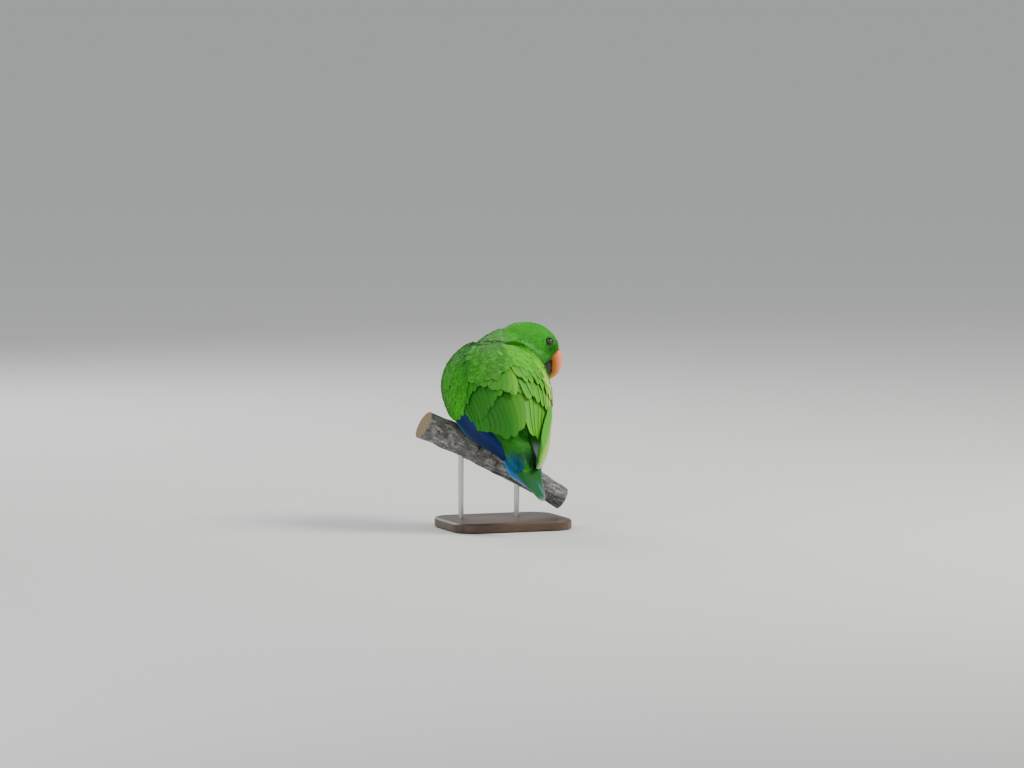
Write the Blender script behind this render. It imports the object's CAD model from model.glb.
import bmesh
import bpy
import numpy as np
from mathutils import Matrix, Vector


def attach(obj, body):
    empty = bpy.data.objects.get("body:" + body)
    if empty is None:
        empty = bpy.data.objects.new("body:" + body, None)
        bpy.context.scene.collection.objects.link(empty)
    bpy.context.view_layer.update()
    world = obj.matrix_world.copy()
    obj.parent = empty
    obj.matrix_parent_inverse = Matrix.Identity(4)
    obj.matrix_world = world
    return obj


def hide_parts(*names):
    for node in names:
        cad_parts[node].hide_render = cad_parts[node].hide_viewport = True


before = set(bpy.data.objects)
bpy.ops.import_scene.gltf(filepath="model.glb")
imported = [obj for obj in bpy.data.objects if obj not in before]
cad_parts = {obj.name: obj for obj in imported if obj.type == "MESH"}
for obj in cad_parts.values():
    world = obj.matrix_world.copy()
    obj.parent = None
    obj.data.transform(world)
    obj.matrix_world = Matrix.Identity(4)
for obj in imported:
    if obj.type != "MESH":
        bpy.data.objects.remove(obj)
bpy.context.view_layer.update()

# View of the photograph: a long lens well behind the bird and to its left, a little above it. The
# studio is a plain pale floor under three soft lights and an even sky.
MM = 0.001
BIRD_CENTRE = np.array([6.0, -8.0, 168.0])
VIEW_AZIMUTH = np.radians(160)
VIEW_ELEVATION = np.radians(5)
PHOTO_WIDTH = 1024
PHOTO_HEIGHT = 768
BIRD_CENTRE_PIXEL = (496, 388)
MM_PER_PIXEL = 1.2
CAMERA_DISTANCE = 8000.0
CAMERA_REACH = 200.0
FLOOR_REACH = 60.0
FLOOR_TONE = (0.8, 0.8, 0.78, 1)
SKY_TONE = (0.95, 0.98, 1, 1)
LIGHTS = [
    ("key", (-1.5, 0.9, 1.7), 0.8, 50, (1, 0.97, 0.92)),
    ("fill", (1.6, 1.2, 0.9), 1.6, 12, (0.93, 0.97, 1)),
    ("front", (0.4, -1.8, 1.4), 1.4, 24, (1, 1, 1)),
]
toward_camera = np.array([
    np.sin(VIEW_AZIMUTH) * np.cos(VIEW_ELEVATION),
    -np.cos(VIEW_AZIMUTH) * np.cos(VIEW_ELEVATION),
    np.sin(VIEW_ELEVATION),
])
camera_right = np.array([np.cos(VIEW_AZIMUTH), np.sin(VIEW_AZIMUTH), 0.0])
camera_up = np.cross(toward_camera, camera_right)
aim = BIRD_CENTRE + MM_PER_PIXEL * (
    camera_right * (PHOTO_WIDTH / 2 - BIRD_CENTRE_PIXEL[0])
    + camera_up * (BIRD_CENTRE_PIXEL[1] - PHOTO_HEIGHT / 2)
)
camera_data = bpy.data.cameras.new("photo_view")
camera_data.lens = camera_data.sensor_width * CAMERA_DISTANCE / (MM_PER_PIXEL * PHOTO_WIDTH)
camera_data.clip_end = CAMERA_REACH
camera = bpy.data.objects.new("photo_view", camera_data)
camera.matrix_world = Matrix(np.stack([camera_right, camera_up, toward_camera], 1).tolist()).to_4x4()
camera.location = Vector((aim + toward_camera * CAMERA_DISTANCE) * MM)
bpy.context.scene.collection.objects.link(camera)
bpy.context.scene.camera = camera

floor_mesh = bpy.data.meshes.new("floor")
floor_corners = [(x * FLOOR_REACH, y * FLOOR_REACH, 0) for x, y in ((-1, -1), (1, -1), (1, 1), (-1, 1))]
floor_mesh.from_pydata(floor_corners, [], [(0, 1, 2, 3)])
floor = bpy.data.objects.new("floor", floor_mesh)
bpy.context.scene.collection.objects.link(floor)
floor_paint = bpy.data.materials.new("floor_paint")
floor_paint.use_nodes = True
floor_paint.node_tree.nodes["Principled BSDF"].inputs["Base Color"].default_value = FLOOR_TONE
floor_paint.node_tree.nodes["Principled BSDF"].inputs["Roughness"].default_value = 0.9
floor_mesh.materials.append(floor_paint)

for name, place, size, power, colour in LIGHTS:
    light = bpy.data.lights.new(name, "AREA")
    light.size = size
    light.energy = power
    light.color = colour
    lamp = bpy.data.objects.new(name, light)
    lamp.location = place
    to_bird = Vector(BIRD_CENTRE * MM) - Vector(place)
    lamp.rotation_euler = to_bird.to_track_quat("-Z", "Y").to_euler()
    bpy.context.scene.collection.objects.link(lamp)
sky = bpy.data.worlds.new("studio_sky")
sky.use_nodes = True
sky.node_tree.nodes["Background"].inputs["Color"].default_value = SKY_TONE
sky.node_tree.nodes["Background"].inputs["Strength"].default_value = 0.5
bpy.context.scene.world = sky

# Skin: the thin, downy skin under the whole coat, one closed surface from the bill's root to the
# tail's. It is the trunk, neck, head, wing arms, shanks and tail mound of the solids, each drawn in
# by the coat's depth and merged, and it only shows between feathers.
BODY = "root"
BODY_PITCH = np.radians(45)
forward = np.array([0, -np.cos(BODY_PITCH), np.sin(BODY_PITCH)])
dorsal = np.array([0, np.sin(BODY_PITCH), np.cos(BODY_PITCH)])
left = np.array([1.0, 0, 0])
world_up = np.array([0, 0, 1.0])
HALF_WIDTH = 57
BACK_DEPTH = 50
BELLY_DEPTH = 51
WING_THICKNESS = 8
CHEEK_FULLNESS = 0.06
COAT_DEPTH = 2.2
HEAD_COAT_DEPTH = 0.9
# (distance behind the trunk's middle, share of its full width and depth)
TRUNK_SCALE = [
    (-62, 0), (-58, 0.38), (-50, 0.62), (-36, 0.84), (-18, 0.97), (0, 1), (22, 0.98), (42, 0.9),
    (60, 0.76), (76, 0.57), (96, 0.3),
]
ENVELOPE_SCALE = [
    (-62, 0.02), (-57, 0.42), (-48, 0.64), (-34, 0.85), (-16, 0.975), (0, 1), (20, 0.985), (40, 0.92),
    (60, 0.805), (80, 0.65), (100, 0.5), (120, 0.39), (150, 0.31), (190, 0.28),
]


def unit(v):
    """Each vector divided by its own length."""
    return v / np.maximum(np.linalg.norm(v, axis=-1, keepdims=True), 1e-9)


def ease(t):
    """3t^2 - 2t^3 with t held between 0 and 1."""
    t = np.clip(t, 0, 1)
    return t * t * (3 - 2 * t)


def mix(a, b, t):
    """a where t is 0, b where t is 1."""
    return a + (b - a) * t


def smooth_curve(table, x):
    """Cubic Hermite curve through (position, value) pairs, its slope at each pair that of the chord
    between the pairs on either side."""
    xs, ys = np.array(table, float).T
    x = np.clip(x, xs[0], xs[-1])
    after = np.minimum(np.arange(len(xs)) + 1, len(xs) - 1)
    before = np.maximum(np.arange(len(xs)) - 1, 0)
    slope = (ys[after] - ys[before]) / (xs[after] - xs[before])
    i = np.clip(np.searchsorted(xs, x, side="right") - 1, 0, len(xs) - 2)
    step = xs[i + 1] - xs[i]
    t = (x - xs[i]) / step
    start = (2 * t**3 - 3 * t**2 + 1) * ys[i] + (t**3 - 2 * t**2 + t) * slope[i] * step
    return start + (3 * t**2 - 2 * t**3) * ys[i + 1] + (t**3 - t**2) * slope[i + 1] * step


def in_body(side, along, up):
    """Centre + side to the bird's left + along towards the tail + up towards the back."""
    side, along, up = np.broadcast_arrays(side, along, up)
    return BIRD_CENTRE + side[..., None] * left - along[..., None] * forward + up[..., None] * dorsal


def trunk_surface(along, angle, inward):
    """Ellipse of half-width 57k and depth 50k or 51k, less inward, k read along the spine."""
    k = smooth_curve(TRUNK_SCALE, along)
    depth = np.where(np.cos(angle) > 0, BACK_DEPTH, BELLY_DEPTH)
    side = np.maximum(HALF_WIDTH * k - inward, 0.2) * np.sin(angle)
    return in_body(side, along, np.maximum(depth * k - inward, 0.2) * np.cos(angle))


def envelope(along, around, height=0.0):
    """Outer surface of the folded wings: an ellipse about the spine whose scale falls from 1 at the
    middle to 0.28 under the tail, moved out by height along its normal. around is in degrees."""
    along, around, height = np.broadcast_arrays(
        np.asarray(along, float), np.asarray(around, float), np.asarray(height, float))

    def surface(a, b):
        """Point on the envelope, at a behind its middle and b degrees round it."""
        k = smooth_curve(ENVELOPE_SCALE, a)
        angle = np.radians(b)
        squeeze = np.interp(a, [60, 110, 190], [1, 0.78, 0.6])
        depth = np.where(np.cos(angle) > 0, BACK_DEPTH * squeeze, BELLY_DEPTH) + WING_THICKNESS
        side = (HALF_WIDTH + WING_THICKNESS) * k * np.sin(angle)
        return in_body(side, a, depth * k * np.cos(angle))

    step = 0.5
    along_edge = surface(along + step, around) - surface(along - step, around)
    around_edge = surface(along, around + step) - surface(along, around - step)
    normal = unit(np.cross(around_edge, along_edge))
    return surface(along, around) + normal * height[..., None], normal


HEAD_YAW = np.radians(110)
HEAD_PITCH = np.radians(45)
head_level = np.array([-np.sin(HEAD_YAW), -np.cos(HEAD_YAW), 0])
head_forward = head_level * np.cos(HEAD_PITCH) - world_up * np.sin(HEAD_PITCH)
head_up = head_level * np.sin(HEAD_PITCH) + world_up * np.cos(HEAD_PITCH)
head_right = np.cross(head_forward, head_up)
bill_root = BIRD_CENTRE + np.array([-92.2, -26.6, 41.9])
# (ahead of the bill's root, top, bottom, half-width)
HEAD_SECTIONS = np.array([
    [-66, -30, -38, 5], [-63.5, -20, -46, 13], [-58, -11, -52, 18.5], [-50, -3, -53, 21.5],
    [-39, 4.2, -50, 22.8], [-28, 7.2, -47, 22.6], [-18, 7.4, -43.5, 20.6], [-9.5, 5.2, -38.5, 17],
    [-3.5, 1.6, -32, 12.8], [-0.4, -3, -26, 8.5],
])
NECK_PATH = BIRD_CENTRE + np.array(
    [[8, -8, -2], [0, -28, 18], [-16, -41, 33], [-34, -47, 40], [-50, -45, 43], [-62, -41, 45]])
# (share of the neck's path, radius)
NECK_RADIUS = [(0, 22), (0.22, 34), (0.42, 31), (0.65, 30.5), (0.85, 26.5), (1, 18.5)]


def in_head(ahead, right, up):
    """Bill's root + ahead towards its tip + right to the bird's right + up towards the crown."""
    ahead, right, up = np.broadcast_arrays(ahead, right, up)
    sideways = right[..., None] * head_right
    return bill_root + ahead[..., None] * head_forward + sideways + up[..., None] * head_up


def head_surface(step, angle, inward):
    """Oval sections between the table's rows: middle + half-height cos, half-width sin, with the
    cheeks 6% fuller and the crown 6% narrower."""
    rows = [smooth_curve(np.stack([np.arange(len(HEAD_SECTIONS)), HEAD_SECTIONS[:, i]], 1), step)
            for i in range(4)]
    ahead, top, bottom, half = rows
    middle = (top + bottom) / 2
    cheek = 1 + CHEEK_FULLNESS * np.sin(angle) ** 2 * np.where(np.cos(angle) < 0, 1, -1)
    right = np.maximum(half - inward, 0.4) * np.sin(angle) * cheek
    return in_head(ahead, right, middle + ((top - bottom) / 2 - inward) * np.cos(angle))


def path_point(points, t):
    """Catmull-Rom curve through the points, t from 0 to 1 by point number."""
    number = np.arange(len(points)) / (len(points) - 1)
    return np.stack([smooth_curve(np.stack([number, points[:, i]], 1), t) for i in range(3)], -1)


def neck_surface(t, angle, inward):
    """Circle round the neck's path whose radius is read from the table, less inward."""
    heading = unit(path_point(NECK_PATH, np.minimum(t + 0.01, 1)) - path_point(NECK_PATH, t - 0.01))
    side = unit(np.cross(heading, world_up))
    up = np.cross(side, heading)
    radius = (smooth_curve(NECK_RADIUS, t) - inward)[..., None]
    spread = side * np.sin(angle)[..., None] + up * np.cos(angle)[..., None]
    return path_point(NECK_PATH, t) + radius * spread


def closed_rings(points):
    """Vertices and faces of a grid of rings, (ring, place round it, xyz), with a fan at each end."""
    rings, around = points.shape[:2]
    vertices = np.concatenate([points.reshape(-1, 3), points[0].mean(0)[None], points[-1].mean(0)[None]])
    r, a = np.meshgrid(np.arange(rings - 1), np.arange(around), indexing="ij")
    b = (a + 1) % around
    sides = np.stack([r * around + a, r * around + b, (r + 1) * around + b, (r + 1) * around + a], -1)
    faces = sides.reshape(-1, 4).tolist()
    ring = np.arange(around)
    nxt = (ring + 1) % around
    first = rings * around
    faces += np.stack([np.full(around, first), nxt, ring], -1).tolist()
    last = (rings - 1) * around
    faces += np.stack([np.full(around, first + 1), last + ring, last + nxt], -1).tolist()
    return vertices, faces


def new_object(name, vertices, faces):
    """A smooth mesh object at the origin, from millimetres, with its normals turned outwards."""
    mesh = bpy.data.meshes.new(name)
    mesh.from_pydata((np.asarray(vertices) * MM).tolist(), [], [list(f) for f in faces])
    build = bmesh.new()
    build.from_mesh(mesh)
    bmesh.ops.recalc_face_normals(build, faces=build.faces)
    build.to_mesh(mesh)
    build.free()
    mesh.shade_smooth()
    piece = bpy.data.objects.new(name, mesh)
    bpy.context.scene.collection.objects.link(piece)
    return piece


# (along the spine, inner edge and outer edge in degrees round it)
WING_CORE = np.array([
    [-56, 56, 76], [-51, 40, 90], [-42, 28, 100], [-26, 20, 106], [-8, 16, 109], [10, 18, 109],
    [26, 24, 107], [40, 36, 102], [50, 52, 92],
], float)
WING_ARM_HEIGHT = {1: -2.6, -1: -4.2}
WING_ARM_EDGE = -7.5
WING_ARM_UNDERSIDE = -9
WING_ARM_COLUMNS = 15


def wing_arm(side):
    """Arm of the folded wing: a cushion between two heights over the envelope, its upper face
    swelling as sin^0.3 across the wing. It sinks 0.1 mm a millimetre from 20 mm on."""
    share = np.linspace(0, 1, WING_ARM_COLUMNS)
    along = WING_CORE[:, :1] + 0 * share
    around = side * mix(WING_CORE[:, 1:2], WING_CORE[:, 2:3], share)
    slope = np.maximum(along - 20, 0) * 0.1
    swell = mix(WING_ARM_EDGE, WING_ARM_HEIGHT[side], np.sin(np.pi * share) ** 0.3)
    upper = envelope(along, around, swell - slope)[0]
    lower = envelope(along, around, WING_ARM_UNDERSIDE - slope)[0]
    return np.concatenate([upper, lower[:, ::-1]], 1)


TAIL_ROOT = BIRD_CENTRE + np.array([0, 55, -55])
TAIL_PITCH = np.radians(41)
TAIL_ROLL = np.radians(6)
tail_heading = unit(np.array([-0.117, np.cos(TAIL_PITCH), -np.sin(TAIL_PITCH)]))
level_side = unit(left - tail_heading * tail_heading[0])
tail_left = level_side * np.cos(TAIL_ROLL) + np.cross(tail_heading, level_side) * np.sin(TAIL_ROLL)
tail_up = np.cross(tail_left, tail_heading)
# (ahead of the tail's root, half-width, height over it, depth under it)
TAIL_MOUND = np.array([
    [6, 15, 14, 14], [13, 15, 14, 14], [24, 14, 10, 10.5], [34, 12.5, 6.2, 7.4], [44, 10, 2.8, 4.4],
    [53, 6, 0.6, 2.6],
])


def in_tail(ahead, side, up):
    """Tail's root + ahead towards its tips + side to the bird's left + up off its upper face."""
    ahead, side, up = np.broadcast_arrays(ahead, side, up)
    sideways = side[..., None] * tail_left
    return TAIL_ROOT + ahead[..., None] * tail_heading + sideways + up[..., None] * tail_up


PERCH_CENTRE = BIRD_CENTRE + np.array([0, -5, -86.7])
PERCH_SLOPE = np.radians(28.4)
PERCH_RADIUS = 15.6
perch_heading = np.array([np.cos(PERCH_SLOPE), 0, np.sin(PERCH_SLOPE)])
perch_top = np.array([-np.sin(PERCH_SLOPE), 0, np.cos(PERCH_SLOPE)])
perch_back = np.array([0, 1.0, 0])
# (along the perch, share of its radius)
PERCH_SIZE = [
    (-98, 0.9), (-70, 0.9), (-52, 0.93), (0, 1), (50, 1.06), (68, 1.15), (84, 1.1), (102, 1.14),
]
PERCH_STRAIGHT = 45
PERCH_BEND = 0.0012
TOE_RADIUS = 3.2
TOUCH_GAP = 0.3
ANKLE_AROUND = -24


def on_perch(length, around, height):
    """Branch's axis, bent down past 45 mm either way, plus its radius and height at an angle from
    its top, in degrees, positive towards the tail."""
    length, around, height = np.broadcast_arrays(length, around, height)
    bend = PERCH_BEND * np.maximum(np.abs(length) - PERCH_STRAIGHT, 0) ** 2
    radius = PERCH_RADIUS * smooth_curve(PERCH_SIZE, length) + height
    angle = np.radians(around)
    return (PERCH_CENTRE + length[..., None] * perch_heading
            + (radius * np.cos(angle) - bend)[..., None] * perch_top
            + (radius * np.sin(angle) + bend)[..., None] * perch_back)


def tube(line, radius, around):
    """Rings of the given radius square to a line of points."""
    heading = unit(np.gradient(line, axis=0))
    side = unit(np.cross(heading, np.array([0.3, 0.2, 0.93])))
    up = np.cross(side, heading)
    angle = np.linspace(0, 2 * np.pi, around, endpoint=False)
    spread = side[:, None] * np.sin(angle)[None, :, None] + up[:, None] * np.cos(angle)[None, :, None]
    return line[:, None] + radius[:, None, None] * spread


def shin_line(place, t):
    """Straight from the ankle on the perch to a point inside the belly."""
    ankle = on_perch(place, ANKLE_AROUND, TOE_RADIUS)
    belly = BIRD_CENTRE + np.array([np.sign(place) * 19, -4, -30])
    return mix(ankle, belly, t[:, None])


def merged(parts):
    """Vertices and faces of several (vertices, faces) pairs as one."""
    vertices = np.concatenate([v for v, f in parts])
    starts = np.cumsum([0] + [len(v) for v, f in parts])
    faces = [[i + start for i in face] for start, (v, f) in zip(starts, parts) for face in f]
    return vertices, faces


FOOT_PLACES = {"left": 23, "right": -23}
SKIN_GRAIN = 1.6
SKIN_RELAXING = 8
turn = np.linspace(0, 2 * np.pi, 64, endpoint=False)
trunk_rows = np.concatenate([[-61.4], np.linspace(-60.5, 96, 60)])[:, None]
neck_rows = np.meshgrid(np.linspace(0.01, 1, 40), turn, indexing="ij")
head_rows = np.meshgrid(np.linspace(0, 9, 55), turn, indexing="ij")
parts = [
    closed_rings(trunk_surface(trunk_rows, turn[None, :] + 0 * trunk_rows, COAT_DEPTH)),
    closed_rings(neck_surface(*neck_rows, COAT_DEPTH)),
    closed_rings(head_surface(*head_rows, HEAD_COAT_DEPTH)),
    closed_rings(wing_arm(1)),
    closed_rings(wing_arm(-1)),
]
mound_angle = turn[None, ::4]
mound_up = np.where(np.cos(mound_angle) > 0, TAIL_MOUND[:, 2:3], TAIL_MOUND[:, 3:4]) - 0.5
parts.append(closed_rings(in_tail(
    TAIL_MOUND[:, :1] + 0 * mound_angle, (TAIL_MOUND[:, 1:2] - 0.8) * np.sin(mound_angle),
    mound_up * np.cos(mound_angle))))
for place in FOOT_PLACES.values():
    t = np.linspace(0.12, 1, 9)
    shin = tube(shin_line(place, t), radius=mix(6.2, 16, ease(t)), around=20)
    parts.append(closed_rings(shin))
raw_skin = new_object("raw_skin", *merged(parts))
merge = raw_skin.modifiers.new("merge", "REMESH")
merge.mode = "VOXEL"
merge.voxel_size = SKIN_GRAIN * MM
relax = raw_skin.modifiers.new("relax", "SMOOTH")
relax.factor = 0.5
relax.iterations = SKIN_RELAXING
finished = raw_skin.evaluated_get(bpy.context.evaluated_depsgraph_get())
skin_mesh = bpy.data.meshes.new_from_object(finished)
skin_mesh.name = "skin"
skin_mesh.shade_smooth()
skin = bpy.data.objects.new("skin", skin_mesh)
bpy.context.scene.collection.objects.link(skin)
bpy.data.objects.remove(raw_skin)
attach(skin, BODY)
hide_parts("torso", "neck", "head", "leg_left", "leg_right")

# Plumage finish: soft barbs that run slantwise off each shaft. The tint of every feather is worked
# out from where it grows, and the material adds the barbs, the pale shaft and a faint unevenness.
class Wire:
    """A socket. Its sums, differences, products and absolute value add Math nodes."""

    def __init__(self, tree, socket):
        """Holds the socket and the tree that its nodes go into."""
        self.tree = tree
        self.socket = socket

    def calculate(self, operation, *values):
        """A Math node on the values, each a number or another socket."""
        node = self.tree.nodes.new("ShaderNodeMath")
        node.operation = operation
        for slot, value in zip(node.inputs, values):
            if isinstance(value, Wire):
                self.tree.links.new(value.socket, slot)
            else:
                slot.default_value = value
        return Wire(self.tree, node.outputs[0])

    def __add__(self, other):
        """self + other."""
        return self.calculate("ADD", self, other)

    __radd__ = __add__

    def __sub__(self, other):
        """self - other."""
        return self.calculate("SUBTRACT", self, other)

    def __rsub__(self, other):
        """other - self."""
        return self.calculate("SUBTRACT", other, self)

    def __mul__(self, other):
        """self times other."""
        return self.calculate("MULTIPLY", self, other)

    __rmul__ = __mul__

    def __abs__(self):
        """self without its sign."""
        return self.calculate("ABSOLUTE", self)

    def sine(self):
        """Sine of self, in radians."""
        return self.calculate("SINE", self)

    def below(self, limit):
        """1 where self is less than limit, 0 elsewhere."""
        return self.calculate("LESS_THAN", self, limit)

    def beside(self, number):
        """Another output of the same node."""
        return Wire(self.tree, self.socket.node.outputs[number])


class Finish:
    """A material round one Principled shader, whose even settings are given by name."""

    def __init__(self, name, **even):
        """A new material whose sockets, with _ for a space, are set to even values."""
        self.material = bpy.data.materials.new(name)
        self.material.use_nodes = True
        self.tree = self.material.node_tree
        self.shader = self.tree.nodes["Principled BSDF"]
        for socket, value in even.items():
            self.shader.inputs[socket.replace("_", " ")].default_value = value

    def node(self, kind, settings=(), sockets=(), out=0):
        """Any node: its settings first, a ramp's stops among them, then its sockets' values or links."""
        node = self.tree.nodes.new("ShaderNode" + kind)
        for key, value in dict(settings).items():
            if key == "stops":
                ramp = node.color_ramp
                while len(ramp.elements) < len(value):
                    ramp.elements.new(0.5)
                for element, (place, colour) in zip(ramp.elements, value):
                    element.position = place
                    element.color = (*colour, 1)
            else:
                setattr(node, key, value)
        for key, value in dict(sockets).items():
            if isinstance(value, Wire):
                self.tree.links.new(value.socket, node.inputs[key])
            else:
                node.inputs[key].default_value = value
        return Wire(self.tree, node.outputs[out])

    def feed(self, socket, wire):
        """Links a wire to one of the shader's sockets."""
        self.tree.links.new(wire.socket, self.shader.inputs[socket])

    def tint(self):
        """Colour kept at each vertex."""
        return self.node("Attribute", {"attribute_name": "tint"})

    def place(self):
        """Place in Object coordinates."""
        return self.node("TexCoord", out=3)

    def noise(self, place, scale, detail, **more):
        """Noise of the given scale and detail at a place."""
        return self.node("TexNoise", {}, {"Vector": place, "Scale": scale, "Detail": detail, **more})

    def blend(self, a, b, factor, mode="MIX"):
        """Colour a with b over it by factor."""
        keep = {"data_type": "RGBA", "blend_type": mode}
        return self.node("Mix", keep, {0: factor, 6: a, 7: b}, out=2)

    def times(self, colour, red, green, blue):
        """Colour with its red, green and blue multiplied."""
        return self.blend(colour, (red, green, blue, 1), 1.0, "MULTIPLY")

    def bump(self, height, strength, distance):
        """Raises the surface by height, up to distance in metres."""
        sockets = {"Strength": strength, "Distance": distance, "Height": height}
        self.feed("Normal", self.node("Bump", {}, sockets))


BARB_SLANT = 0.7
SHAFT_HALF_WIDTH = 0.22


def plumage_finish(name, roughness, barb_spacing, contrast):
    """Tint attribute, darkened between barbs. The vane map holds millimetres along and across each
    feather, so the barbs are waves of (along - 0.7 |across|) over their spacing, and the shaft is
    where |across| is under 0.22."""
    finish = Finish(name, Roughness=roughness, Specular_IOR_Level=0.25)
    tint = finish.tint()
    along = finish.node("SeparateXYZ", {}, {0: finish.node("UVMap", {"uv_map": "vane"})})
    across = along.beside(1)
    slant = (along - abs(across) * BARB_SLANT) * (6.2832 / barb_spacing)
    patches = finish.noise(finish.place(), scale=900.0, detail=3.0)
    grain = (slant.sine() * 0.5 + 0.5) * 0.5 + patches * 0.5
    dark = finish.times(tint, 0.45, 0.5, 0.4)
    colour = finish.blend(tint, dark, (1 - grain) * contrast)
    light = finish.times(tint, 1.35, 1.3, 1.2)
    finish.feed("Base Color", finish.blend(colour, light, abs(across).below(SHAFT_HALF_WIDTH) * 0.45))
    finish.bump(grain, strength=0.35, distance=0.0004)
    return finish.material


contour_finish = plumage_finish("contour_feather", roughness=0.66, barb_spacing=0.7, contrast=0.5)
flight_finish = plumage_finish("flight_feather", roughness=0.55, barb_spacing=0.9, contrast=0.4)
skin_finish = Finish("skin_down", Roughness=0.85, Specular_IOR_Level=0.2)
down_tint = skin_finish.tint()
down_fluff = skin_finish.noise(skin_finish.place(), scale=1400.0, detail=4.0)
down_dark = skin_finish.times(down_tint, 0.4, 0.45, 0.35)
skin_finish.feed("Base Color", skin_finish.blend(down_dark, down_tint, down_fluff))
skin_finish.bump(down_fluff, strength=0.5, distance=0.0005)
skin_mesh.materials.clear()
skin_mesh.materials.append(skin_finish.material)

HEAD_GREEN = np.array([0.055, 0.40, 0.02])
CROWN_GREEN = np.array([0.022, 0.37, 0.006])
CHEEK_GREEN = np.array([0.12, 0.52, 0.12])
LORE_GREEN = np.array([0.010, 0.12, 0.004])
MANTLE_SAGE = np.array([0.085, 0.26, 0.045])
STREAK_SAGE = np.array([0.22, 0.48, 0.18])
WING_GREEN = np.array([0.024, 0.21, 0.009])
BAND_GREEN = np.array([0.045, 0.36, 0.009])
SUNNY_GREEN = np.array([0.09, 0.50, 0.014])
BREAST_GREEN = np.array([0.06, 0.30, 0.03])
FLANK_RED = np.array([0.55, 0.03, 0.02])
STREAK_SQUEEZE = np.array([1.0, 0.3, 0.3])
EYE_PLACE = (-17.0, 13.6, -1.6)


def head_frame(points):
    """Points as (ahead, right, up) in the head's frame."""
    offset = points - bill_root
    return offset @ head_forward, offset @ head_right, offset @ head_up


def body_frame(points):
    """Points as (side, along, up) in the trunk's frame."""
    offset = points - BIRD_CENTRE
    return offset @ left, -(offset @ forward), offset @ dorsal


HEAD_REACH = 27
FACE_REACH = 24
HEAD_FADE = 15
head_middle = in_head(-32.0, 0.0, -22.0)
face_middle = in_head(-12.0, 0.0, -14.0)


def head_share(points):
    """1 on the head, falling to 0 over 15 mm, from 27 mm off its middle or 24 mm off the face's,
    whichever is nearer."""
    off_head = np.linalg.norm(points - head_middle, axis=-1) - HEAD_REACH
    off_face = np.linalg.norm(points - face_middle, axis=-1) - FACE_REACH
    return 1 - ease(np.minimum(off_head, off_face) / HEAD_FADE)


def mottle(points, size, seed):
    """Sum of eight sine waves of random direction and phase, about size apart, within about 1."""
    draw = np.random.default_rng(seed)
    waves = unit(draw.normal(size=(8, 3))) * 2 * np.pi / size * draw.uniform(0.7, 1.4, (8, 1))
    return np.sin(points @ waves.T + draw.uniform(0, 2 * np.pi, 8)).sum(-1) / 4


def streaked(points):
    """Share of pale sage at each point: long streaks that run with the spine."""
    return ease(np.abs(mottle(points * STREAK_SQUEEZE, size=4, seed=43)) * 2.2)


def body_tint(points):
    """Green of the coat at each point: crown, cheek, dark lores, sage mantle, breast, and red flanks
    that the folded wings hide."""
    ahead, right, up = head_frame(points)
    side, along, back = body_frame(points)
    tint = np.broadcast_to(BREAST_GREEN, points.shape).copy()
    mantle = ease((back - 8) / 22) * ease((60 - along) / 40)
    sage = mix(0.55 * MANTLE_SAGE + 0.45 * BAND_GREEN, STREAK_SAGE, 0.6 * streaked(points)[..., None])
    tint = mix(tint, sage, (mantle * 0.85)[..., None])
    rump = ease((along - 60) / 30)
    tint = mix(tint, WING_GREEN * 1.1, rump[..., None])
    flank = ease((np.abs(side) - 38) / 8) * ease((4 - back) / 10) * ease((back + 30) / 12)
    flank = flank * ease((50 - along) / 20) * ease((along + 14) / 12)
    tint = mix(tint, FLANK_RED, (flank * 0.9)[..., None])
    head = head_share(points)
    face = mix(HEAD_GREEN, CROWN_GREEN, ease((up + 14) / 14)[..., None])
    face = mix(face, CHEEK_GREEN, (ease((-14 - up) / 10) * ease((ahead + 44) / 20) * 0.85)[..., None])
    lore = np.exp(-(((ahead + 7) / 6) ** 2 + ((up + 6) / 8) ** 2))
    face = mix(face, LORE_GREEN, (lore * 0.92)[..., None])
    chin = ease((-27 - up) / 9) * ease((ahead + 24) / 10)
    face = mix(face, LORE_GREEN * 1.6, (chin * 0.7)[..., None])
    return mix(tint, face, head[..., None])


def set_tint(mesh, colours):
    """Stores a colour for each vertex."""
    layer = mesh.attributes.new("tint", "FLOAT_COLOR", "POINT")
    rgba = np.concatenate([colours, np.ones((len(colours), 1))], 1)
    layer.data.foreach_set("color", rgba.astype(np.float32).ravel())


skin_points = np.empty(len(skin_mesh.vertices) * 3, np.float32)
skin_mesh.vertices.foreach_get("co", skin_points)
skin_points = skin_points.reshape(-1, 3) / MM
set_tint(skin_mesh, body_tint(skin_points) * 0.8)

# Vanes: each feather is a thin closed plate on a spine of points, ridged along its shaft, cambered
# down to its edges and leaning a little so that it slides under its neighbour.
BAKE_PATCH = 0.003
SHAFT_RIDGE = 0.12


def from_root(count, crowding):
    """Shares 0 to 1 of a feather's length, 1 - (1 - x)^crowding, closer together towards its tip."""
    return 1 - (1 - np.linspace(0, 1, count)) ** crowding


def web_width(t, half, roundness, quill=0.45):
    """Half-width from root to tip: a quill that widens by t = 0.3, a web, and an elliptic end past
    t = roundness."""
    start = quill + (1 - quill) * ease(t / 0.3)
    u = np.clip((t - roundness) / (1 - roundness), 0, 1)
    return half * start * np.sqrt(np.maximum(1 - u * u, 0.001))


def body_map(points):
    """Unwrap of the trunk: degrees round the spine across the map, distance along it up the map."""
    side, along, back = body_frame(points)
    return np.stack([0.02 + 0.96 * (np.arctan2(side, back) / (2 * np.pi) + 0.5),
                     0.02 + 0.95 * np.clip((along + 110) / 330, 0, 1)], -1)


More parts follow.
